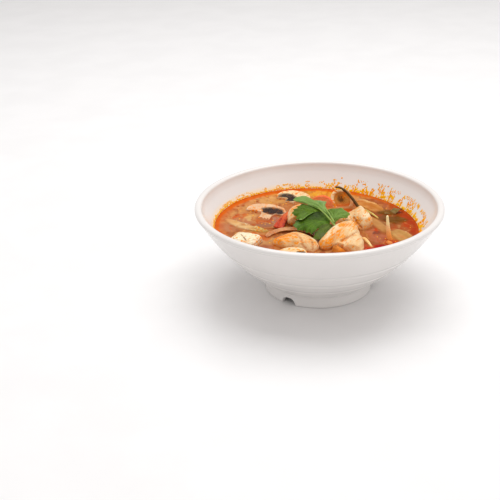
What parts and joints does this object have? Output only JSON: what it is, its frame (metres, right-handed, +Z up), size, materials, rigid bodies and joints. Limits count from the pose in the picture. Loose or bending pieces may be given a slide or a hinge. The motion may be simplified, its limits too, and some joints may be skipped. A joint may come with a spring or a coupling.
{
  "type": "tom yum soup in bowl",
  "caption": "Sour and spicy soup with a cloudy orange-brown broth in a white footed bowl, with shrimps, mushrooms, tomato, onion, lemongrass and a coriander sprig standing out of the broth.",
  "frame": {"origin": "under the middle of the bowl, on the plane that the foot ring stands on", "axes": "+Z up along the bowl's turning axis; -Y is the near side, +X is to the right"},
  "size_m": [0.2, 0.2, 0.0734],
  "materials": {
    "bowl_white": "satin white melamine",
    "broth": "cloudy orange-brown liquid, wet, chilli oil at the edge",
    "shrimp": "wet cooked shrimp flesh with orange specks",
    "mushroom": "moist cream flesh, dark gills",
    "tomato": "moist tomato flesh",
    "onion": "translucent cooked onion",
    "lemongrass": "pale fibrous stalk",
    "dark_stalk": "dark wet stalk",
    "wilted_herb": "dark wilted leaf",
    "coriander": "fresh leaf with pale veins"
  },
  "bodies": {
    "root": {"bowl": "bowl_white", "broth": "broth", "shrimp_left": "shrimp", "shrimp_right": "shrimp", "shrimp_front": "shrimp", "shrimp_back": "shrimp", "mushroom_slice_left": "mushroom", "mushroom_slice_back": "mushroom", "mushroom_slice_front": "mushroom", "mushroom_chunk": "mushroom", "mushroom_bit": "mushroom", "mushroom_cap": "mushroom", "tomato_wedge": "tomato", "onion_arc": "onion", "onion_strip_left": "onion", "onion_petal_back": "onion", "onion_strip_right": "onion", "onion_petal_right": "onion", "lemongrass_strip": "lemongrass", "lemongrass_upright": "lemongrass", "lemongrass_sliver": "lemongrass", "stalk": "dark_stalk", "herb_leaf_near": "wilted_herb", "herb_leaf_far": "wilted_herb", "coriander_sprig": "coriander"}
  },
  "joints": []
}
